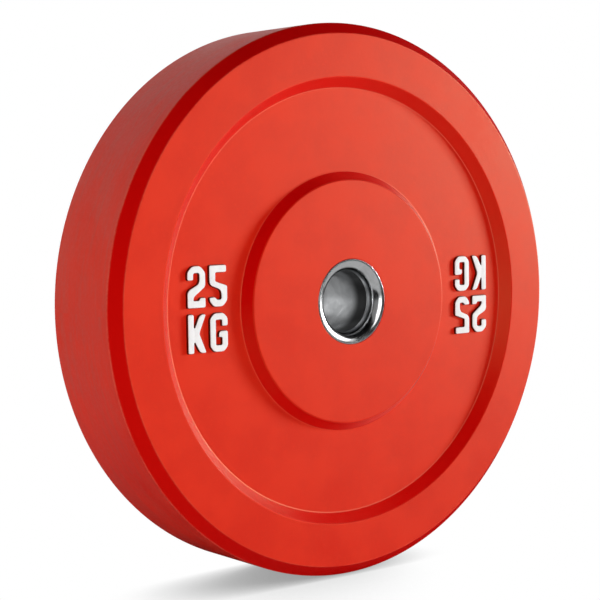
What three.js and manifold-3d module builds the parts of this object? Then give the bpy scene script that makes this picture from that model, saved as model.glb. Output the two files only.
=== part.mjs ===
// A 25 kg bumper plate: one moulded rubber disc on a steel hub insert.
// Units are millimetres and +Z is up. The Y axis is the axis of the bore, the front face looks along -Y,
// and the origin is the centre of the bore at mid width, so the plate stands on its tread below it.
import * as THREE from "three";
import { mergeVertices } from "three/addons/utils/BufferGeometryUtils.js";
import Module from "manifold-3d";

const wasm = await Module();
wasm.setup();

// The rubber disc. Both faces are alike: a flat rim, a dished web and a raised hub.
const rubber = {
  diameter: 450, // over the tread
  width: 96, // face to face, at the rim and at the hub, which are level
  dishDepth: 8, // from the rim face down to the web, on each side
  rimChamfer: 9, // bevel between the tread and the rim face, equal both ways
  dishDiameter: 363, // where the rim face ends
  dishRun: 8.5, // how far the slope from the rim face down to the web runs inwards
  hubDiameter: 197, // raised hub face
  hubRun: 7, // how far the slope from the hub face down to the web runs outwards
  edgeRadius: 1.6, // moulded outer edges
  footRadius: 2, // moulded inner corners at the foot of each slope
};

// The bore and the two polished rings that flare its mouths.
const bore = {
  diameter: 50.4, // slides on a 50 mm bar sleeve
};
const flare = {
  spread: 8.7, // how far the flare opens out beyond the bore
  depth: 9.5, // from the hub face to the start of the straight bore
  lipLand: 0.6, // flat ring on the lip, outside the flare
  lipHeight: 3, // straight outer edge of the lip
  throat: 2.5, // straight bore inside the ring, after the flare
  skirtLength: 8, // how far the ring's skirt reaches over the tube's spigot
  skirtWall: 2.5,
};

// The seamless tube between the rings, turned down at both ends to a spigot.
const tube = {
  spigotWall: 2.5,
};

// Two pressed anchor discs on the tube, buried in the rubber, with a hooked rim and key holes.
const anchor = {
  diameter: 124,
  thickness: 4,
  hook: 6, // how far the rim turns in towards mid width
  weld: 3, // leg of the fillet weld that holds the disc to the tube
  setback: 2.7, // from the tube's shoulder to the weld
  keyDiameter: 14, // holes that the rubber flows through
};
const keyCount = 8;

const bondGap = 0.3; // between the rubber and the steel, and between the steel pieces
const overrun = 5; // how far a cutting tool passes the face that it cuts

// Facets round the axis, and along the curved stretches of an outline.
const discFacets = 80;
const hubFacets = 40;
const keyFacets = 16;
const flareSteps = 4;
const edgeSteps = 2;

const rubberRed = new THREE.MeshStandardMaterial({ color: 0xd8301f, roughness: 0.55, metalness: 0 });
const polishedSteel = new THREE.MeshStandardMaterial({ color: 0xc9ccd0, roughness: 0.18, metalness: 1 });
const turnedSteel = new THREE.MeshStandardMaterial({ color: 0x9b9da0, roughness: 0.35, metalness: 1 });
const pressedSteel = new THREE.MeshStandardMaterial({ color: 0x55585c, roughness: 0.6, metalness: 0.9 });

const half = (size) => size / 2;
const corner = (radius, y, rounding = 0) => ({ at: new THREE.Vector2(radius, y), rounding });

// Draws a line through the corners on a path, with each corner that has a rounding curved.
// A rounding is never more than half of either side that it joins.
function drawCorners(path, corners) {
  corners.forEach(({ at, rounding }, i) => {
    const before = corners[i - 1];
    const after = corners[i + 1];
    if (!rounding || !before || !after) {
      path.lineTo(at.x, at.y);
      return;
    }
    const into = before.at.clone().sub(at);
    const out = after.at.clone().sub(at);
    const turn = Math.PI - into.angleTo(out);
    const reach = Math.min(rounding * Math.tan(half(turn)), half(into.length()), half(out.length()));
    const start = at.clone().addScaledVector(into.normalize(), reach);
    const end = at.clone().addScaledVector(out.normalize(), reach);
    path.lineTo(start.x, start.y);
    path.quadraticCurveTo(at.x, at.y, end.x, end.y);
  });
}

function outline(corners) {
  const path = new THREE.Path();
  path.moveTo(corners[0].at.x, corners[0].at.y);
  drawCorners(path, corners.slice(1));
  return path.getPoints(edgeSteps);
}

function closedOutline(corners) {
  return outline([...corners, corners[0]]);
}

// Turns an outline about the Y axis. The flats of the facets touch the true circles,
// so flats lie at the bottom, the top and the sides, and a bore keeps its clear diameter.
function turned(points, facets) {
  const step = (2 * Math.PI) / facets;
  const toCorners = 1 / Math.cos(half(step));
  const profile = points.map(({ x, y }) => new THREE.Vector2(x * toCorners, y));
  return new THREE.LatheGeometry(profile, facets, half(step));
}

function solidOf(geometry) {
  const bare = geometry.clone();
  bare.deleteAttribute("normal");
  bare.deleteAttribute("uv");
  const merged = mergeVertices(bare);
  return new wasm.Manifold(
    new wasm.Mesh({
      numProp: 3,
      vertProperties: merged.attributes.position.array,
      triVerts: new Uint32Array(merged.index.array),
    }),
  );
}

function geometryOf(solid) {
  const { vertProperties, triVerts } = solid.getMesh();
  const geometry = new THREE.BufferGeometry();
  geometry.setAttribute("position", new THREE.BufferAttribute(vertProperties, 3));
  geometry.setIndex(new THREE.BufferAttribute(triVerts, 1));
  geometry.computeVertexNormals();
  return geometry;
}

// Faces and shoulders along the axis, on the front half, where y is negative.
const face = -half(rubber.width);
const webFace = face + rubber.dishDepth;
const lipFoot = face + flare.lipHeight;
const flareFoot = face + flare.depth;
const ringStep = flareFoot + flare.throat;
const skirtEnd = ringStep + flare.skirtLength;
const tubeEnd = ringStep + bondGap;
const tubeShoulder = skirtEnd + bondGap;
const weldFoot = tubeShoulder + anchor.setback;
const anchorFace = weldFoot + anchor.weld;
const anchorBack = anchorFace + anchor.thickness;
const hookEnd = anchorBack + anchor.hook;

const boreRadius = half(bore.diameter);
const mouthRadius = boreRadius + flare.spread;
const lipRadius = mouthRadius + flare.lipLand;
const spigotRadius = boreRadius + tube.spigotWall;
const skirtRadius = spigotRadius + bondGap;
const tubeRadius = skirtRadius + flare.skirtWall;
const anchorRadius = half(anchor.diameter);
const hookRadius = anchorRadius - anchor.thickness;
const keyRadius = half(anchor.keyDiameter);
const keyCircleRadius = half(tubeRadius + anchor.weld + hookRadius);

// The front half of the disc's outline, from the axis outwards.
function discSide() {
  const outer = half(rubber.diameter);
  const dish = half(rubber.dishDiameter);
  const hub = half(rubber.hubDiameter);
  return [
    corner(hub, face, rubber.edgeRadius),
    corner(hub + rubber.hubRun, webFace, rubber.footRadius),
    corner(dish - rubber.dishRun, webFace, rubber.footRadius),
    corner(dish, face, rubber.edgeRadius),
    corner(outer - rubber.rimChamfer, face, rubber.edgeRadius),
    corner(outer, face + rubber.rimChamfer, rubber.edgeRadius),
  ];
}

const mirrored = (corners) => corners.map(({ at, rounding }) => corner(at.x, -at.y, rounding)).reverse();

// The anchor disc's section, grown by a gap all round: the weld at the tube, the flat and the hook.
function anchorSection(gap) {
  const inner = tubeRadius + bondGap - gap;
  const weldEnd = tubeRadius + bondGap + anchor.weld + gap;
  return [
    corner(inner, anchorFace - gap - (weldEnd - inner)),
    corner(weldEnd, anchorFace - gap),
    corner(anchorRadius + gap, anchorFace - gap),
    corner(anchorRadius + gap, hookEnd + gap),
    corner(hookRadius - gap, hookEnd + gap),
    corner(hookRadius - gap, anchorBack + gap),
    corner(inner, anchorBack + gap),
  ];
}

// One pin through each key hole of the front anchor disc.
function keyPins(radius) {
  const length = anchor.thickness + 2 * overrun;
  const pin = new THREE.CylinderGeometry(radius, radius, length, keyFacets);
  return Array.from({ length: keyCount }, (_, i) => {
    const angle = (2 * Math.PI * i) / keyCount;
    const x = keyCircleRadius * Math.cos(angle);
    const z = keyCircleRadius * Math.sin(angle);
    return solidOf(pin.clone().translate(x, half(anchorFace + anchorBack), z));
  });
}

function anchorDisc() {
  const blank = solidOf(turned(closedOutline(anchorSection(0)), hubFacets));
  return geometryOf(keyPins(keyRadius).reduce((disc, pin) => disc.subtract(pin), blank));
}

// The room that the front anchor disc takes in the rubber, less the rubber keys through its holes.
function anchorRoom() {
  const room = solidOf(turned(closedOutline(anchorSection(bondGap)), hubFacets));
  return keyPins(keyRadius - bondGap).reduce((left, pin) => left.subtract(pin), room);
}

// The room that the rings and the tube take in the rubber, right through it.
function boreRoom() {
  const mouth = [
    corner(0, face - overrun),
    corner(lipRadius + bondGap, face - overrun),
    corner(lipRadius + bondGap, lipFoot + bondGap),
    corner(tubeRadius + bondGap, flareFoot + bondGap),
  ];
  return solidOf(turned(outline([...mouth, ...mirrored(mouth)]), hubFacets));
}

function rubberDisc() {
  const side = [corner(0, face), ...discSide()];
  const blank = solidOf(turned(outline([...side, ...mirrored(side)]), discFacets));
  const front = anchorRoom();
  const rear = front.rotate([0, 0, 180]);
  return geometryOf(blank.subtract(boreRoom()).subtract(front).subtract(rear));
}

// A flared mouth ring: the lip lies in the hub face and the skirt slips over the tube's spigot.
function mouthRing() {
  const path = new THREE.Path();
  path.moveTo(tubeRadius, skirtEnd);
  drawCorners(path, [
    corner(tubeRadius, flareFoot),
    corner(lipRadius, lipFoot),
    corner(lipRadius, face),
    corner(mouthRadius, face),
  ]);
  path.absellipse(mouthRadius, flareFoot, flare.spread, flare.depth, 1.5 * Math.PI, Math.PI, true);
  drawCorners(path, [
    corner(boreRadius, ringStep),
    corner(skirtRadius, ringStep),
    corner(skirtRadius, skirtEnd),
    corner(tubeRadius, skirtEnd),
  ]);
  return turned(path.getPoints(flareSteps).reverse(), hubFacets);
}

function hubTube() {
  const end = [
    corner(boreRadius, tubeEnd),
    corner(spigotRadius, tubeEnd),
    corner(spigotRadius, tubeShoulder),
    corner(tubeRadius, tubeShoulder),
  ];
  return turned(closedOutline([...end, ...mirrored(end)]), hubFacets);
}

const plate = new THREE.Group();
const front = new THREE.Group();
const rear = new THREE.Group();
rear.rotation.z = Math.PI;
plate.add(front, rear);

function piece(parent, name, geometry, material) {
  const mesh = new THREE.Mesh(geometry, material);
  mesh.name = name;
  parent.add(mesh);
}

piece(plate, "rubber_disc", rubberDisc(), rubberRed);
piece(plate, "hub_tube", hubTube(), turnedSteel);
[["front", front], ["rear", rear]].forEach(([side, parent]) => {
  piece(parent, `${side}_mouth_ring`, mouthRing(), polishedSteel);
  piece(parent, `${side}_anchor_disc`, anchorDisc(), pressedSteel);
});

export default plate;
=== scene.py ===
"""A red 25 kg rubber bumper plate with a polished steel bore, standing on its tread."""
import math

import bpy
from mathutils import Matrix, Vector


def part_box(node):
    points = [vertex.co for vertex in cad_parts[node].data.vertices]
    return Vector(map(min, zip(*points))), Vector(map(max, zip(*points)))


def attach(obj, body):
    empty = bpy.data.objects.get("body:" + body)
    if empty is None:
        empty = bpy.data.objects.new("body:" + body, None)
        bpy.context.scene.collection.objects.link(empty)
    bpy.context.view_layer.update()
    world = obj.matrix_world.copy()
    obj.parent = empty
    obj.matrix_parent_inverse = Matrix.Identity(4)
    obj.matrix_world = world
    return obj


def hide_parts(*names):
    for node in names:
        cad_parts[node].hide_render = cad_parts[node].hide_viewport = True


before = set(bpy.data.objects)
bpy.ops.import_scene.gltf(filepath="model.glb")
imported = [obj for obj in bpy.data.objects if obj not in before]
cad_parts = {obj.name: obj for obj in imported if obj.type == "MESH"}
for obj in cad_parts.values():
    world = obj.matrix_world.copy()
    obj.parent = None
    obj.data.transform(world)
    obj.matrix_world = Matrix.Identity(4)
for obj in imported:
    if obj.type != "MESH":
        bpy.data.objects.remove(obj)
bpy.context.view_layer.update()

# Lengths are in metres. Y is the axis of the bore, and the front face looks along -Y.
mm = 0.001
BODY = "root"
CENTRE = (0.0, 0.0, 0.0)
FACES = (("front", -1), ("rear", 1))
SIDES = (("left", -1), ("right", 1))

# Boxes of the CAD nodes that the pieces stand for or fit round.
disc_low, disc_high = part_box("rubber_disc")
ring_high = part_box("front_mouth_ring")[1]
tube_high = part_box("hub_tube")[1]
anchor_low, anchor_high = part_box("front_anchor_disc")

# Sizes of the rubber disc. The slopes and their rounding are those of the CAD solid.
DISC_RADIUS = disc_high.x
FACE_Y = disc_high.y
RIM_CHAMFER = 9 * mm
DISH_RADIUS = 181.5 * mm
DISH_RUN = 8.5 * mm  # how far the slope into the dish runs inwards
DISH_DEPTH = 8 * mm
HUB_RADIUS = 98.5 * mm
HUB_RUN = 7 * mm  # how far the slope down from the hub runs outwards
EDGE_ROUND = 1.6 * mm
FOOT_ROUND = 2 * mm
MOUTH_ROUND = 0.5 * mm
BOND_GAP = 0.3 * mm  # between the rubber and the steel, and between the steel pieces
DISC_SEGMENTS = 288
RIM_EDGE = DISC_RADIUS - RIM_CHAMFER
DISH_FOOT = DISH_RADIUS - DISH_RUN
HUB_FOOT = HUB_RADIUS + HUB_RUN
WEB_Y = FACE_Y - DISH_DEPTH

# Sizes of the steel insert.
LIP_RADIUS = ring_high.x
TUBE_RADIUS = tube_high.x
BORE_RADIUS = 25.2 * mm
FLARE_DEPTH = 9.5 * mm
LIP_LAND = 0.6 * mm  # flat ring outside the flare
LIP_HEIGHT = 3 * mm
LIP_ROUND = 0.25 * mm
THROAT = 2.5 * mm  # straight bore inside the ring, after the flare
SKIRT_WALL = 2.5 * mm
SPIGOT_LENGTH = 8 * mm
STEEL_ROUND = 0.2 * mm
STEEL_SEGMENTS = 192
FLARE_STEPS = 20

# The raised figures: two blocks on each face, one the right way up and one upside down.
FIGURE_WIDTH = 16.3 * mm
FIGURE_GAP = 3.9 * mm
LETTER_HEIGHT = 29.8 * mm
LINE_GAP = 5.0 * mm
BLOCK_LIFT = 0.4 * mm
BLOCK_RADIUS = 137.5 * mm  # from the axis to the middle of a block
FIGURE_HEIGHT = 2.4 * mm
END_ROUND = 1.3 * mm
BEND_ROUND = 4.5 * mm
BEND_LIMIT = math.radians(70)  # a corner that turns less than this is a bend of a stroke
FIGURE_ARC_STEP = math.radians(15)
FIGURE_SHARP = math.radians(40)

# The stems of the figures are sunk in the web, and spread towards it. They are a near-black red,
# as painted shade on the figures' sides and a rim of painted shadow round their feet. The white
# tops stand out a little beyond the stems.
STEM_ROOT = 0.4 * mm
STEM_SPREAD = 0.6 * mm
STEM_DRAFT = 0.15 * mm
PAINT_DEPTH = 0.5 * mm
PAINT_LAP = 0.05 * mm
PAINT_GAP = 0.02 * mm
PAINT_ROUND = 0.35 * mm
PAINT_ROUND_STEPS = 4

# Outlines of the figures in millimetres from their lower left corner, anticlockwise.
FIGURES = {
    "2": [
        (0, 0), (16.3, 0), (16.3, 7.4), (11.6, 7.4), (10.6, 5.3), (5.3, 5.3), (5.3, 8.1),
        (16.3, 16.0), (16.3, 26.8), (11.8, 31.8), (4.5, 31.8), (0, 27.4), (0, 21.2),
        (5.3, 21.2), (5.3, 25.6), (6.3, 26.6), (10.0, 26.6), (11.0, 25.6), (11.0, 18.4), (0, 13.0),
    ],
    "5": [
        (0, 31.8), (0, 16.8), (10.9, 12.7), (10.9, 6.2), (10.1, 5.3), (6.5, 5.3), (5.1, 7.4),
        (0, 7.0), (0, 4.4), (3.9, 0), (12.2, 0), (16.3, 4.6), (16.3, 15.8), (5.4, 19.4),
        (5.4, 26.4), (15.6, 26.4), (15.6, 31.8),
    ],
    "K": [
        (0, 0), (5.2, 0), (5.2, 10.2), (11.0, 0.1), (16.5, 0.1), (10.0, 15.2), (16.3, 29.6),
        (10.9, 29.6), (5.2, 17.2), (5.2, 29.8), (0, 29.8),
    ],
    "G": [
        (16.3, 19.8), (16.3, 25.8), (12.4, 29.8), (4.0, 29.8), (0, 25.7), (0, 4.0), (3.9, 0),
        (12.5, 0), (16.3, 3.9), (16.3, 15.9), (9.7, 15.9), (8.2, 14.5), (8.2, 11.3), (11.1, 11.3),
        (11.1, 5.8), (10.4, 5.1), (5.8, 5.1), (5.2, 5.7), (5.2, 24.1), (5.8, 24.7), (10.4, 24.7),
        (11.1, 24.0), (11.1, 19.8),
    ],
}

# Outlines and meshes.
ARC_STEP = math.radians(12)
LEAST_ARC_STEPS = 2
HOLD = 0.4 * mm  # from the end of an arc to the point that holds the flat beside it
LEAST_HOLD = 0.05 * mm
SIDE_SHARE = 0.95  # of a side that the arcs at its two ends may take up
LEAST_LEAN = 0.4  # keeps an inset from moving a sharp corner too far


def rounded(corners, arc_step=ARC_STEP, hold=HOLD):
    """Rounds each corner (x, y, radius) of a closed outline with an arc.

    A point a little way from each end of an arc holds the straight stretch beside it flat. Two arcs
    that meet on a side share it by their radii.
    """
    points = []
    for i, (x, y, radius) in enumerate(corners):
        at = Vector((x, y))
        if radius <= 0:
            points.append(at)
            continue
        before, after = corners[i - 1], corners[(i + 1) % len(corners)]
        into = Vector(before[:2]) - at
        out = Vector(after[:2]) - at
        turn = math.pi - into.angle(out)
        sides = into.length / (radius + before[2]), out.length / (radius + after[2])
        room = SIDE_SHARE * radius * min(sides)
        reach = min(radius * math.tan(turn / 2), room)
        radius = reach / math.tan(turn / 2)
        into.normalize()
        out.normalize()
        centre = at + (into + out).normalized() * (radius / math.cos(turn / 2))
        start = at + into * reach - centre
        sign = 1 if start.x * (at.y - centre.y) - start.y * (at.x - centre.x) > 0 else -1
        steps = max(LEAST_ARC_STEPS, math.ceil(turn / arc_step))
        spare = min(hold, room - reach)
        if spare > LEAST_HOLD:
            points.append(at + into * (reach + spare))
        for k in range(steps + 1):
            angle = sign * turn * k / steps
            cos, sin = math.cos(angle), math.sin(angle)
            arm = Vector((start.x * cos - start.y * sin, start.x * sin + start.y * cos))
            points.append(centre + arm)
        if spare > LEAST_HOLD:
            points.append(at + out * (reach + spare))
    return points


def mirrored(corners):
    """The same corners beyond mid width, in the reverse order."""
    return [(x, -y, radius) for x, y, radius in reversed(corners)]


def mesh_piece(name, verts, faces, sharp=None):
    """Makes a smooth mesh object, with edges above the angle sharp left hard."""
    mesh = bpy.data.meshes.new(name)
    mesh.from_pydata([tuple(v) for v in verts], [], faces)
    mesh.validate()
    mesh.shade_smooth()
    if sharp:
        mesh.set_sharp_from_angle(angle=sharp)
    piece = bpy.data.objects.new(name, mesh)
    bpy.context.scene.collection.objects.link(piece)
    return piece


def revolve(name, profile, segments):
    """Turns a closed (radius, y) profile about the Y axis."""
    area = sum(a.x * b.y - b.x * a.y for a, b in zip(profile, profile[1:] + profile[:1]))
    if area < 0:
        profile = profile[::-1]
    count = len(profile)
    verts = []
    faces = []
    for s in range(segments):
        angle = 2 * math.pi * s / segments
        cos, sin = math.cos(angle), math.sin(angle)
        verts += [Vector((p.x * cos, p.y, p.x * sin)) for p in profile]
        here, there = s * count, (s + 1) % segments * count
        for i in range(count):
            j = (i + 1) % count
            faces.append((here + i, here + j, there + j, there + i))
    return mesh_piece(name, verts, faces)


def declare(piece, node=None):
    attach(piece, BODY)
    if node:
        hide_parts(node)


# The rubber disc.
def disc_profile():
    """The rubber's section, with room inside it for the rings, the tube and the anchor discs."""
    outside = [
        (LIP_RADIUS + BOND_GAP, FACE_Y, MOUTH_ROUND),
        (HUB_RADIUS, FACE_Y, EDGE_ROUND),
        (HUB_FOOT, WEB_Y, FOOT_ROUND),
        (DISH_FOOT, WEB_Y, FOOT_ROUND),
        (DISH_RADIUS, FACE_Y, EDGE_ROUND),
        (RIM_EDGE, FACE_Y, EDGE_ROUND),
        (DISC_RADIUS, FACE_Y - RIM_CHAMFER, EDGE_ROUND),
    ]
    room_radius = anchor_high.x + BOND_GAP
    room_near = -anchor_low.y + BOND_GAP
    room_far = -anchor_high.y - BOND_GAP
    inside = [
        (TUBE_RADIUS + BOND_GAP, room_far, 0),
        (room_radius, room_far, 0),
        (room_radius, room_near, 0),
        (TUBE_RADIUS + BOND_GAP, room_near, 0),
        (TUBE_RADIUS + BOND_GAP, FACE_Y - FLARE_DEPTH - BOND_GAP, 0),
        (LIP_RADIUS + BOND_GAP, FACE_Y - LIP_HEIGHT - BOND_GAP, 0),
    ]
    return rounded(outside + mirrored(outside) + mirrored(inside) + inside)


def make_disc(rubber):
    disc = revolve("rubber_shell", disc_profile(), DISC_SEGMENTS)
    disc.data.materials.append(rubber)
    declare(disc, "rubber_disc")


# The steel insert.
def ring_profile():
    """The section of a mouth ring: its skirt, its lip, an elliptical flare and a short throat."""
    mouth = LIP_RADIUS - LIP_LAND
    foot_y = FACE_Y - FLARE_DEPTH
    flare = []
    for k in range(FLARE_STEPS + 1):
        angle = math.pi / 2 * k / FLARE_STEPS
        x = mouth - (mouth - BORE_RADIUS) * math.sin(angle)
        flare.append((x, foot_y + FLARE_DEPTH * math.cos(angle), 0))
    step_y = foot_y - THROAT
    skirt = TUBE_RADIUS - SKIRT_WALL
    skirt_y = -ring_high.y
    return rounded([
        (TUBE_RADIUS, skirt_y, STEEL_ROUND),
        (TUBE_RADIUS, foot_y, 0),
        (LIP_RADIUS, FACE_Y - LIP_HEIGHT, 0),
        (LIP_RADIUS, FACE_Y, LIP_ROUND),
        *flare,
        (BORE_RADIUS, step_y, STEEL_ROUND),
        (skirt, step_y, 0),
        (skirt, skirt_y, STEEL_ROUND),
    ])


def tube_profile():
    """The section of the tube, with a spigot at each end."""
    end_y = tube_high.y
    spigot = TUBE_RADIUS - SKIRT_WALL - BOND_GAP
    end = [
        (BORE_RADIUS, end_y, STEEL_ROUND),
        (spigot, end_y, STEEL_ROUND),
        (spigot, end_y - SPIGOT_LENGTH, 0),
        (TUBE_RADIUS, end_y - SPIGOT_LENGTH, STEEL_ROUND),
    ]
    return rounded(end + mirrored(end))


def make_insert(polished, turned):
    """Makes the rings and the tube, and gives the collection that holds them."""
    steel = bpy.data.collections.new("steel")
    ring = ring_profile()
    for face, sign in FACES:
        points = [Vector((p.x, sign * p.y)) for p in ring]
        piece = revolve(f"{face}_ring", points, STEEL_SEGMENTS)
        piece.data.materials.append(polished)
        declare(piece, f"{face}_mouth_ring")
        steel.objects.link(piece)
    piece = revolve("bore_tube", tube_profile(), STEEL_SEGMENTS)
    piece.data.materials.append(turned)
    declare(piece, "hub_tube")
    steel.objects.link(piece)
    return steel


# The raised figures.
def inset(points, amount):
    """Moves each point of an anticlockwise outline inwards by an amount."""
    moved = []
    for before, at, after in zip(points[-1:] + points[:-1], points, points[1:] + points[:1]):
        a = (at - before).normalized()
        b = (after - at).normalized()
        normal = Vector((-a.y - b.y, a.x + b.x)).normalized()
        lean = max(LEAST_LEAN, normal.dot(Vector((-a.y, a.x))))
        moved.append(at + normal * (amount / lean))
    return moved


def layers(points, steps):
    """Stacks an outline at each (inset, height), and closes it at both ends."""
    count = len(points)
    verts = [Vector((p.x, p.y, height)) for amount, height in steps for p in inset(points, amount)]
    faces = [tuple(range(count))[::-1]]
    for level in range(len(steps) - 1):
        low, high = level * count, (level + 1) * count
        for i in range(count):
            j = (i + 1) % count
            faces.append((low + i, low + j, high + j, high + i))
    top = (len(steps) - 1) * count
    faces.append(tuple(range(top, top + count)))
    return verts, faces


def figure_places():
    """Each figure of a block with the place of its lower left corner, from the block's centre."""
    left = -FIGURE_WIDTH - FIGURE_GAP / 2
    right = FIGURE_GAP / 2
    digits = LINE_GAP / 2 + BLOCK_LIFT
    letters = -LINE_GAP / 2 - LETTER_HEIGHT + BLOCK_LIFT
    return [("2", left, digits), ("5", right, digits), ("K", left, letters), ("G", right, letters)]


def figure_corners(points, x, y):
    """Gives the shallow bends of a stroke a wide radius, and its ends a small one."""
    places = [Vector((px * mm + x, py * mm + y)) for px, py in points]
    for before, at, after in zip(places[-1:] + places[:-1], places, places[1:] + places[:1]):
        turn = (at - before).angle(after - at)
        yield (at.x, at.y, BEND_ROUND if turn < BEND_LIMIT else END_ROUND)


def figure_steps():
    """The (inset, height) steps of the red stems and of the white tops, from the web upwards."""
    paint_foot = FIGURE_HEIGHT - PAINT_DEPTH
    stem = [(-STEM_SPREAD, -STEM_ROOT), (STEM_DRAFT, paint_foot - PAINT_GAP)]
    wall = STEM_DRAFT - PAINT_LAP
    top = [(wall, paint_foot)]
    for k in range(PAINT_ROUND_STEPS + 1):
        angle = math.pi / 2 * k / PAINT_ROUND_STEPS
        height = FIGURE_HEIGHT - PAINT_ROUND + PAINT_ROUND * math.sin(angle)
        top.append((wall + PAINT_ROUND * (1 - math.cos(angle)), height))
    return stem, top


def block_matrix(face_sign, block_sign):
    """From a block's own plane, with its height along z, to its place on the web of a face."""
    flat = Matrix.Rotation(0 if block_sign < 0 else math.pi, 4, "Z")
    stand = Matrix.Rotation(math.pi / 2, 4, "X")
    place = Matrix.Translation((block_sign * BLOCK_RADIUS, -WEB_Y, 0))
    face = Matrix.Rotation(0 if face_sign < 0 else math.pi, 4, "Z")
    return face @ place @ stand @ flat


def make_block(name, matrix, steps, finish):
    verts, faces = [], []
    for figure, x, y in figure_places():
        corners = list(figure_corners(FIGURES[figure], x, y))
        more, more_faces = layers(rounded(corners, FIGURE_ARC_STEP, hold=0), steps)
        faces += [tuple(i + len(verts) for i in face) for face in more_faces]
        verts += [matrix @ v for v in more]
    piece = mesh_piece(name, verts, faces, FIGURE_SHARP)
    piece.data.materials.append(finish)
    declare(piece)


def make_figures(rubber, paint):
    stem_steps, top_steps = figure_steps()
    for face, face_sign in FACES:
        for side, block_sign in SIDES:
            matrix = block_matrix(face_sign, block_sign)
            name = f"{face}_{side}_figures"
            make_block(name, matrix, stem_steps, rubber)
            make_block(name + "_white", matrix, top_steps, paint)


# Colours and nodes.
def rgb(r, g, b):
    return (r, g, b, 1.0)


WHITE = rgb(1.0, 1.0, 1.0)


class Nodes:
    """Builds a node tree. A value is a number for a node's own socket, or a socket to link."""

    def __init__(self, tree):
        self.tree = tree
        self.tree.nodes.clear()

    def add(self, kind, values=None, **properties):
        node = self.tree.nodes.new(kind)
        for key, value in properties.items():
            setattr(node, key, value)
        for key, value in (values or {}).items():
            if isinstance(value, bpy.types.NodeSocket):
                self.tree.links.new(value, node.inputs[key])
            else:
                node.inputs[key].default_value = value
        return node

    def calc(self, operation, a, b=0.0, clamp=False):
        node = self.add("ShaderNodeMath", {0: a, 1: b}, operation=operation, use_clamp=clamp)
        return node.outputs[0]

    def plus(self, a, b, clamp=False):
        return self.calc("ADD", a, b, clamp)

    def minus(self, a, b):
        return self.calc("SUBTRACT", a, b)

    def times(self, a, b):
        return self.calc("MULTIPLY", a, b)

    def larger(self, a, b):
        return self.calc("MAXIMUM", a, b)

    def absolute(self, a):
        return self.calc("ABSOLUTE", a)

    def share(self, a, part, b):
        """A part of one value and the rest of another."""
        return self.plus(self.times(a, part), self.times(b, 1 - part))

    def line(self, value, low, high, to_low=0.0, to_high=1.0, kind="LINEAR"):
        """Goes in a straight line from to_low to to_high while a value goes from low to high."""
        values = {"Value": value, "From Min": low, "From Max": high}
        values |= {"To Min": to_low, "To Max": to_high}
        return self.add("ShaderNodeMapRange", values, interpolation_type=kind).outputs["Result"]

    def smooth(self, value, low, high, to_low=0.0, to_high=1.0):
        """Does the same with a soft start and end."""
        return self.line(value, low, high, to_low, to_high, "SMOOTHSTEP")

    def band(self, value, centre, half):
        """One on a line and nothing beyond a half width beside it."""
        return self.smooth(self.absolute(self.minus(value, centre)), half, 0.0)

    def noise(self, vector, scale, detail, roughness=0.5, distortion=0.0):
        values = {"Vector": vector, "Scale": scale, "Detail": detail}
        values |= {"Roughness": roughness, "Distortion": distortion}
        return self.add("ShaderNodeTexNoise", values).outputs["Fac"]

    def mix(self, factor, a, b):
        """Mixes two colours. The colour sockets of a Mix node have no names of their own."""
        return self.add("ShaderNodeMix", {0: factor, 6: a, 7: b}, data_type="RGBA").outputs[2]

    def bump(self, height, distance, strength, normal=None):
        values = {"Height": height, "Distance": distance, "Strength": strength}
        if normal:
            values["Normal"] = normal
        return self.add("ShaderNodeBump", values).outputs["Normal"]

    def coordinate(self, name):
        return self.add("ShaderNodeTexCoord").outputs[name]

    def split(self, vector):
        return self.add("ShaderNodeSeparateXYZ", {0: vector}).outputs

    def join(self, x, y, z=0.0):
        return self.add("ShaderNodeCombineXYZ", {0: x, 1: y, 2: z}).outputs[0]

    def polar(self, place):
        """The radius from the Y axis, the place along it, and the angle round it."""
        x, y, z = self.split(place)
        radius = self.calc("SQRT", self.plus(self.times(x, x), self.times(z, z)))
        return radius, y, self.calc("ARCTAN2", z, x)

    def light_path(self):
        return self.add("ShaderNodeLightPath").outputs

    def shader(self, kind, values):
        return self.add(kind, values).outputs[0]

    def glow(self, strength):
        return self.shader("ShaderNodeEmission", {"Color": WHITE, "Strength": strength})

    def mix_shaders(self, factor, a, b):
        return self.shader("ShaderNodeMixShader", {0: factor, 1: a, 2: b})

    def finish(self, shader, kind="ShaderNodeOutputMaterial"):
        self.add(kind, {"Surface": shader})


def material(name):
    made = bpy.data.materials.new(name)
    made.use_nodes = True
    return made, Nodes(made.node_tree)


# The rubber: its colours, with darker copies of the red as painted shade on the slopes, the
# bevel and the figures' stems, and its clouds, mottling and specks. A noise's scale is its number
# of cells in a metre.
RUBBER = rgb(0.77, 0.005, 0.001)
RUBBER_PALE = rgb(0.785, 0.012, 0.002)
RUBBER_DUSKY = rgb(0.715, 0.002, 0.001)
# Darker copies of the red for the slopes and the bevel, below: painted shade.
RUBBER_SLOPE_SHADE = rgb(0.70, 0.001, 0.001)
RUBBER_BEVEL_SHADE = rgb(0.56, 0.001, 0.001)
RUBBER_SCUFFED = rgb(0.46, 0.07, 0.055)
# Pale red for worn edges, partly painted highlight, and for the painted highlight at the feet.
RUBBER_WORN_AND_HIGHLIT = rgb(0.74, 0.11, 0.07)
# Near-black red for the figures' stems: painted shade on their sides and round their feet.
RUBBER_FIGURE_SHADE = rgb(0.06, 0.001, 0.001)
CLOUD_SCALE = 24.0
CLOUD_SPREAD = (0.35, 0.65)
MOTTLE_SCALE = 330.0
MOTTLE_SPREAD = (0.5, 0.78)
MOTTLE_STRENGTH = 0.6
SPECK_SCALE = 1500.0
SPECK_STRENGTH = 0.5
GRAIN_DEPTH = 0.1 * mm
GRAIN_STRENGTH = 0.6
WAVE_DEPTH = 1 * mm
WAVE_STRENGTH = 0.2

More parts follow.
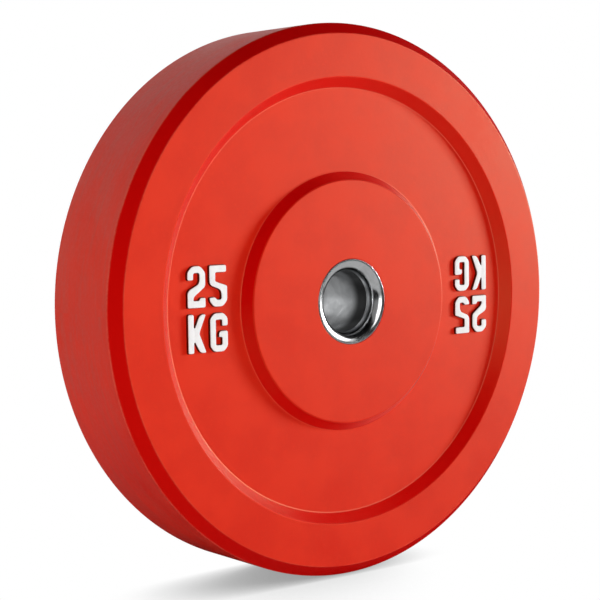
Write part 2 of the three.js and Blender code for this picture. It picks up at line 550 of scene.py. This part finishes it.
# Zones of the rubber. Facing is 1 where the surface faces along the axis, and 0 on the tread.
FLAT_FACING = (0.8, 0.97)
TREAD_FACING = (0.4, 0.15)
TREAD_START = (DISC_RADIUS - 0.8 * mm, DISC_RADIUS - 0.3 * mm)
BEVEL_ZONE = (DISH_RADIUS + 5 * mm, DISC_RADIUS - 2 * RIM_CHAMFER)
HUB_ZONE = (HUB_RADIUS + 4 * HUB_RUN, HUB_RADIUS + 2 * HUB_RUN)
# The share of the bevel's painted shade that the hub's slope takes.
HUB_SHADE_SHARE = 0.5

# Pale edges on the rubber, partly wear and partly painted highlight, a painted highlight in a
# thin line along the feet of the slopes, and scuffs in lanes round the tread.
EDGE_WEAR_AND_HIGHLIGHT = 1.1 * mm
INNER_EDGE_WEAR_AND_HIGHLIGHT = 0.4
SCUFF_CLOUD = 0.6
SCUFF_SPREAD = (0.38, 0.6)
SCUFF_STRENGTH = (0.25, 0.8)
# Width and strength of the painted highlight along the feet of the slopes.
FOOT_LINE = 0.7 * mm
FOOT_HIGHLIGHT = 0.8
HUB_FOOT_HIGHLIGHT = 0.4
LANES_ALONG = 160.0
LANES_ROUND = 3.5
LANE_SPREAD = (0.42, 0.68)
LANE_STRENGTH = 0.25

# Gloss of the rubber: rougher on the open faces and on the worn edges than on the slopes.
RUBBER_GLOSS = rgb(0.9, 0.95, 0.36)
RUBBER_SHINE = 0.55
BEVEL_SHINE = 0.05
OPEN_ROUGH = 0.51
BEVEL_ROUGH = 0.5
DISH_SLOPE_ROUGH = 0.34
HUB_SLOPE_ROUGH = 0.2
DULL_EDGE = 1.6 * mm
DULL_EDGE_ROUGH = 0.8
ROUGH_MOTTLE = 0.6
ROUGH_SPREAD = (0.3, 0.7)
ROUGH_CHANGE = (-0.07, 0.07)
SLOPE_BLOOM = 0.35
BLOOM_ROUGH = 0.3
BLOOM_TINT = rgb(1.0, 0.65, 0.5)


def rubber_zones(nodes, radius):
    """Four weights: for the tread, for the tread or a flat face, by the bevel and by the hub."""
    facing = nodes.absolute(nodes.split(nodes.coordinate("Normal"))[1])
    flat = nodes.smooth(facing, *FLAT_FACING)
    tread = nodes.times(nodes.smooth(radius, *TREAD_START), nodes.smooth(facing, *TREAD_FACING))
    bevel = nodes.smooth(radius, *BEVEL_ZONE)
    hub = nodes.smooth(radius, *HUB_ZONE)
    return tread, nodes.plus(flat, tread, clamp=True), bevel, hub


def rubber_wear_and_highlight(nodes, radius, depth, cloud, mottle):
    """Pale bevel edges (wear and painted highlight) and a painted highlight at each slope's foot.
    """
    inner = nodes.times(nodes.band(radius, RIM_EDGE, EDGE_WEAR_AND_HIGHLIGHT),
                        nodes.band(depth, FACE_Y, EDGE_WEAR_AND_HIGHLIGHT))
    outer = nodes.times(nodes.band(radius, DISC_RADIUS, EDGE_WEAR_AND_HIGHLIGHT),
                        nodes.band(depth, FACE_Y - RIM_CHAMFER, EDGE_WEAR_AND_HIGHLIGHT))
    edges = nodes.larger(nodes.times(inner, INNER_EDGE_WEAR_AND_HIGHLIGHT), outer)
    patches = nodes.share(cloud, SCUFF_CLOUD, mottle)
    patches = nodes.smooth(patches, *SCUFF_SPREAD, *SCUFF_STRENGTH)
    foot = nodes.larger(nodes.band(radius, DISH_FOOT, FOOT_LINE),
                        nodes.times(nodes.band(radius, HUB_FOOT, FOOT_LINE), HUB_FOOT_HIGHLIGHT))
    foot = nodes.times(foot, nodes.band(depth, WEB_Y, FOOT_LINE))
    return nodes.larger(nodes.times(edges, patches), nodes.times(foot, FOOT_HIGHLIGHT))


def rubber_scuffs(nodes, along, angle, tread):
    """Scuffs that run round the tread in narrow lanes."""
    lanes = nodes.join(nodes.times(along, LANES_ALONG), nodes.times(angle, LANES_ROUND))
    scuffs = nodes.noise(lanes, 1.0, detail=5.0, roughness=0.7, distortion=0.4)
    return nodes.times(nodes.smooth(scuffs, *LANE_SPREAD, 0.0, LANE_STRENGTH), tread)


def rubber_roughness(nodes, radius, depth, cloud, mottle, open_area, bevel, hub):
    """Rougher or finer by zone, uneven with the mottling, and dull on the edges of dish and hub."""
    slope = nodes.smooth(hub, 0.0, 1.0, DISH_SLOPE_ROUGH, HUB_SLOPE_ROUGH)
    slope = nodes.line(bevel, 0.0, 1.0, slope, BEVEL_ROUGH)
    level = nodes.line(open_area, 0.0, 1.0, slope, OPEN_ROUGH)
    change = nodes.smooth(nodes.share(mottle, ROUGH_MOTTLE, cloud), *ROUGH_SPREAD, *ROUGH_CHANGE)
    edges = nodes.larger(nodes.band(radius, DISH_RADIUS, DULL_EDGE),
                         nodes.band(radius, HUB_RADIUS, DULL_EDGE))
    edges = nodes.times(nodes.band(depth, FACE_Y, DULL_EDGE), edges)
    return nodes.larger(nodes.plus(change, level), nodes.times(edges, DULL_EDGE_ROUGH))


def rubber_material(name, slope_shade_colour, bevel_shade_colour):
    made, nodes = material(name)
    place = nodes.coordinate("Object")
    radius, along, angle = nodes.polar(place)
    depth = nodes.absolute(along)
    cloud = nodes.noise(place, CLOUD_SCALE, detail=3.0, roughness=0.6)
    mottle = nodes.noise(place, MOTTLE_SCALE, detail=3.0, roughness=0.65)
    speck = nodes.noise(place, SPECK_SCALE, detail=1.0)
    tread, open_area, bevel, hub = rubber_zones(nodes, radius)

    colour = nodes.mix(nodes.smooth(cloud, *CLOUD_SPREAD), RUBBER_DUSKY, RUBBER)
    pale = nodes.smooth(mottle, *MOTTLE_SPREAD, 0.0, MOTTLE_STRENGTH)
    colour = nodes.mix(pale, colour, RUBBER_PALE)
    # The slopes, the bevel and half of the hub's slope take darker copies of the red: painted
    # shade.
    painted_shade = nodes.larger(bevel, nodes.times(hub, HUB_SHADE_SHARE))
    colour = nodes.mix(open_area, nodes.mix(painted_shade, slope_shade_colour, bevel_shade_colour), colour)
    # Pale edges and feet: partly wear, partly painted highlight.
    wear_and_highlight = rubber_wear_and_highlight(nodes, radius, depth, cloud, mottle)
    colour = nodes.mix(wear_and_highlight, colour, RUBBER_WORN_AND_HIGHLIT)
    colour = nodes.mix(rubber_scuffs(nodes, along, angle, tread), colour, RUBBER_SCUFFED)

    grain = nodes.plus(mottle, nodes.times(speck, SPECK_STRENGTH))
    normal = nodes.bump(grain, GRAIN_DEPTH, GRAIN_STRENGTH)
    normal = nodes.bump(cloud, WAVE_DEPTH, WAVE_STRENGTH, normal)
    slopes = nodes.minus(1.0, nodes.larger(open_area, bevel))
    bevels = nodes.times(bevel, nodes.minus(1.0, open_area))
    nodes.finish(nodes.shader("ShaderNodeBsdfPrincipled", {
        "Base Color": colour,
        "Roughness": rubber_roughness(nodes, radius, depth, cloud, mottle, open_area, bevel, hub),
        "Normal": normal,
        "Specular IOR Level": nodes.smooth(bevels, 0.0, 1.0, RUBBER_SHINE, BEVEL_SHINE),
        "Specular Tint": RUBBER_GLOSS,
        "Sheen Weight": nodes.times(slopes, SLOPE_BLOOM),
        "Sheen Roughness": BLOOM_ROUGH,
        "Sheen Tint": BLOOM_TINT,
    }))
    return made


# The white paint on the figures.
PAINT_CLEAN = rgb(0.90, 0.895, 0.885)
PAINT_STAINED = rgb(0.82, 0.815, 0.805)
STAIN_SCALE = 260.0
STAIN_SPREAD = (0.45, 0.85)
BRUSH_SCALE = 1800.0
PAINT_GRAIN = 0.06 * mm
PAINT_GRAIN_STRENGTH = 0.6
PAINT_ROUGH_SPREAD = (0.3, 0.7)
PAINT_ROUGH = (0.5, 0.62)
PAINT_SHINE = 0.25


def paint_material():
    made, nodes = material("white_figures")
    place = nodes.coordinate("Object")
    stain = nodes.noise(place, STAIN_SCALE, detail=3.0, roughness=0.6)
    fine = nodes.noise(place, BRUSH_SCALE, detail=1.0)
    nodes.finish(nodes.shader("ShaderNodeBsdfPrincipled", {
        "Base Color": nodes.mix(nodes.smooth(stain, *STAIN_SPREAD), PAINT_CLEAN, PAINT_STAINED),
        "Roughness": nodes.smooth(stain, *PAINT_ROUGH_SPREAD, *PAINT_ROUGH),
        "Normal": nodes.bump(nodes.plus(stain, fine), PAINT_GRAIN, PAINT_GRAIN_STRENGTH),
        "Specular IOR Level": PAINT_SHINE,
    }))
    return made


# Each steel: its clean and its dull colour, its least and most roughness, and its grooves' depth.
POLISHED_STEEL = (rgb(0.80, 0.81, 0.82), rgb(0.70, 0.71, 0.72), (0.14, 0.24), 0.02 * mm)
BORE_STEEL = (rgb(0.50, 0.51, 0.52), rgb(0.42, 0.43, 0.44), (0.26, 0.38), 0.04 * mm)
PRESSED_STEEL = (rgb(0.30, 0.31, 0.32), rgb(0.22, 0.22, 0.23), (0.45, 0.6), 0.04 * mm)

# All have turned grooves round the axis, and smears. The bore darkens from the first depth to the
# second, towards its mouths, as painted shade.
GROOVES_ACROSS = 2600.0
GROOVES_ROUND = 1.5
GROOVE_STRENGTH = 0.5
SMEAR_SCALE = 90.0
SMEAR_SPREAD = (0.35, 0.75)
STEEL_ROUGH_SMEAR = 0.7
STEEL_ROUGH_SPREAD = (0.3, 0.7)
MOUTH_ZONE = (15 * mm, 27 * mm)
MOUTH_PAINTED_SHADE = rgb(0.055, 0.055, 0.055)


def steel_material(name, colour, dull, rough, groove, mouth=None):
    made, nodes = material(name)
    place = nodes.coordinate("Object")
    radius, along, angle = nodes.polar(place)
    grooves = nodes.join(nodes.times(radius, GROOVES_ACROSS), nodes.times(along, GROOVES_ACROSS),
                         nodes.times(angle, GROOVES_ROUND))
    turned = nodes.noise(grooves, 1.0, detail=3.0, roughness=0.6)
    smear = nodes.noise(place, SMEAR_SCALE, detail=4.0, roughness=0.6, distortion=0.8)
    tint = nodes.mix(nodes.smooth(smear, *SMEAR_SPREAD), colour, dull)
    # Painted shade: the bore's colour darkens towards its mouths.
    if mouth:
        tint = nodes.mix(nodes.smooth(nodes.absolute(along), *MOUTH_ZONE), tint, mouth)
    finish = nodes.share(smear, STEEL_ROUGH_SMEAR, turned)
    nodes.finish(nodes.shader("ShaderNodeBsdfPrincipled", {
        "Base Color": tint,
        "Metallic": 1.0,
        "Roughness": nodes.smooth(finish, *STEEL_ROUGH_SPREAD, *rough),
        "Normal": nodes.bump(turned, groove, GROOVE_STRENGTH),
    }))
    return made


# Lamps on the plate and the floor: place, size and power. All face the centre of the plate, and
# only the key shows in its gloss.
LAMPS = {
    "key": ((2.39, -1.03, 0.36), 0.6, 52.0),
    "front": ((-0.65, -1.75, -0.05), 1.4, 15.4),
    "side": ((-1.95, 0.4, 0.1), 1.2, 13.2),
    "top": ((0.5, 1.7, 1.4), 1.4, 18.8),
    "rear": ((0.25, 2.25, 0.3), 1.4, 34.0),
    "bounce": ((-0.5, -1.0, -0.16), 0.8, 5.0),
}

# A lamp that only the floor receives: place, the point that it faces, size and power.
OVERHEAD = ((-0.3, -0.9, 1.4), (-0.15, -0.4, -0.2), 1.0, 17.0)

# Cards that only the steel mirrors, described in the same way.
STEEL_CARDS = {
    "right_card": ((2.0, -1.05, 0.5), CENTRE, 1.4, 15.0),
    "front_card": ((-0.25, -2.25, 0.2), CENTRE, 1.4, 15.0),
    "left_card": ((-1.95, 0.4, 0.1), CENTRE, 1.2, 18.0),
    "room_card": ((-1.6, -1.7, 0.6), CENTRE, 2.4, 4.0),
    "floor_card": ((0.35, -0.5, -0.22), (0.35, -0.5, 0.0), 1.3, 2.3),
}


def area_light(name, place, aim, size, power, shiny=True, only=None):
    """Adds a square lamp that the camera doesn't see, for everything or only for a collection."""
    data = bpy.data.lights.new(name, "AREA")
    data.shape = "SQUARE"
    data.size = size
    data.energy = power
    lamp = bpy.data.objects.new(name, data)
    bpy.context.scene.collection.objects.link(lamp)
    lamp.location = place
    lamp.rotation_mode = "QUATERNION"
    lamp.rotation_quaternion = (Vector(aim) - Vector(place)).to_track_quat("-Z", "Y")
    lamp.visible_camera = False
    lamp.visible_glossy = shiny
    if only:
        lamp.light_linking.receiver_collection = only


# The backdrop in reflections is behind the plate, below the ceiling, and dimmer to the right.
# Each pair is a span of the direction along one axis.
BACKDROP_BACK = (0.15, 0.65)
BACKDROP_TOP = (0.7, 0.45)
BACKDROP_RIGHT = (0.35, 0.8)
BACKDROP_DIM = 0.7
BACKDROP_STRENGTH = 1.05


def make_world():
    """White to the camera, and a white backdrop behind the plate in its reflections."""
    world = bpy.data.worlds.new("studio")
    bpy.context.scene.world = world
    world.use_nodes = True
    nodes = Nodes(world.node_tree)
    x, y, z = nodes.split(nodes.coordinate("Generated"))
    level = nodes.times(nodes.smooth(z, *BACKDROP_TOP),
                        nodes.smooth(x, *BACKDROP_RIGHT, 1.0, BACKDROP_DIM))
    behind = nodes.times(nodes.smooth(y, *BACKDROP_BACK), level)
    backdrop = nodes.smooth(behind, 0.0, 1.0, 0.0, BACKDROP_STRENGTH)
    path = nodes.light_path()
    reflected = nodes.plus(path["Is Glossy Ray"], path["Is Transmission Ray"], clamp=True)
    strength = nodes.larger(nodes.times(reflected, backdrop), path["Is Camera Ray"])
    shine = nodes.shader("ShaderNodeBackground", {"Color": WHITE, "Strength": strength})
    nodes.finish(shine, "ShaderNodeOutputWorld")


# The floor is white to the camera, and darkens where the plate covers it.
FLOOR_HALF = 6.0
FLOOR_DROP = 0.1 * mm
FLOOR_BOUNCE = rgb(0.6, 0.6, 0.6)
FLOOR_GLOW = 0.6
FLOOR_GLOW_START = (0.02, 0.5)
SHADOW_DARK = 0.14
SHADOW_END = 0.6
SHADOW_REACH = 1.0
SHADOW_TILT = (0.85, 0.45, 1.0)
SHADOW_SAMPLES = 32


def floor_material():
    """Pale to diffuse light, a glow behind the plate to gloss, and white to the camera.

    The shadow that the camera sees comes from how far the plate covers the floor.
    """
    made, nodes = material("pale_floor")
    path = nodes.light_path()
    matt = nodes.shader("ShaderNodeBsdfDiffuse", {"Color": FLOOR_BOUNCE})
    behind = nodes.smooth(nodes.split(nodes.coordinate("Object"))[1], *FLOOR_GLOW_START)
    glow = nodes.glow(nodes.times(behind, FLOOR_GLOW))
    tilt = nodes.add("ShaderNodeVectorMath", {0: SHADOW_TILT}, operation="NORMALIZE").outputs[0]
    values = {"Distance": SHADOW_REACH, "Normal": tilt}
    cover = nodes.add("ShaderNodeAmbientOcclusion", values, samples=SHADOW_SAMPLES).outputs["AO"]
    seen = nodes.glow(nodes.line(cover, 0.0, SHADOW_END, SHADOW_DARK, 1.0))
    unseen = nodes.mix_shaders(path["Is Glossy Ray"], matt, glow)
    nodes.finish(nodes.mix_shaders(path["Is Camera Ray"], unseen, seen))
    return made


def make_floor():
    z = disc_low.z - FLOOR_DROP
    corners = [(-FLOOR_HALF, -FLOOR_HALF, z), (FLOOR_HALF, -FLOOR_HALF, z),
               (FLOOR_HALF, FLOOR_HALF, z), (-FLOOR_HALF, FLOOR_HALF, z)]
    floor = mesh_piece("floor", corners, [(0, 1, 2, 3)])
    floor.data.materials.append(floor_material())
    lit = bpy.data.collections.new("floor_only")
    lit.objects.link(floor)
    return lit


# The photograph's camera. Its angles are in radians, and a positive pitch looks down.
IMAGE_SIZE = 600
FOCAL_PIXELS = 1623.06
SENSOR_WIDTH = 36.0  # in millimetres, as Blender has it
CLIP_START = 0.01
CAMERA_PLACE = (-0.83425, -1.06632, 0.08048)
CAMERA_YAW = -0.6542
CAMERA_PITCH = 0.0601
FIGURES_LEAN = math.radians(1.0)


def make_camera():
    """The photograph's view, rolled about the bore so that the figures lie level on the part."""
    data = bpy.data.cameras.new("camera")
    data.sensor_width = SENSOR_WIDTH
    data.lens = SENSOR_WIDTH * FOCAL_PIXELS / IMAGE_SIZE
    data.clip_start = CLIP_START
    camera = bpy.data.objects.new("camera", data)
    bpy.context.scene.collection.objects.link(camera)
    forward = Vector((-math.sin(CAMERA_YAW) * math.cos(CAMERA_PITCH),
                      math.cos(CAMERA_YAW) * math.cos(CAMERA_PITCH), -math.sin(CAMERA_PITCH)))
    turn = forward.to_track_quat("-Z", "Y").to_matrix().to_4x4()
    roll = Matrix.Rotation(FIGURES_LEAN, 4, "Y")
    camera.matrix_world = roll @ Matrix.Translation(CAMERA_PLACE) @ turn
    bpy.context.scene.camera = camera


# The stage.
make_camera()
make_world()
floor_only = make_floor()
area_light("overhead", *OVERHEAD, shiny=False, only=floor_only)
for name, (place, size, power) in LAMPS.items():
    area_light(name, place, CENTRE, size, power, shiny=name == "key")

# The plate. Its anchor discs are the CAD's own nodes.
make_disc(rubber_material("red_rubber", RUBBER_SLOPE_SHADE, RUBBER_BEVEL_SHADE))
polished = steel_material("polished_steel", *POLISHED_STEEL)
turned = steel_material("bore_steel", *BORE_STEEL, mouth=MOUTH_PAINTED_SHADE)
insert = make_insert(polished, turned)
for name, card in STEEL_CARDS.items():
    area_light(name, *card, only=insert)
# The figures' stems are near black: painted shade on their sides and round their feet.
figure_shade = rubber_material("figure_rubber", RUBBER_FIGURE_SHADE, RUBBER_FIGURE_SHADE)
make_figures(figure_shade, paint_material())
pressed = steel_material("anchor_steel", *PRESSED_STEEL)
for name in ("front_anchor_disc", "rear_anchor_disc"):
    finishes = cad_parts[name].data.materials
    finishes.clear()
    finishes.append(pressed)

bpy.context.scene.view_settings.view_transform = "Standard"
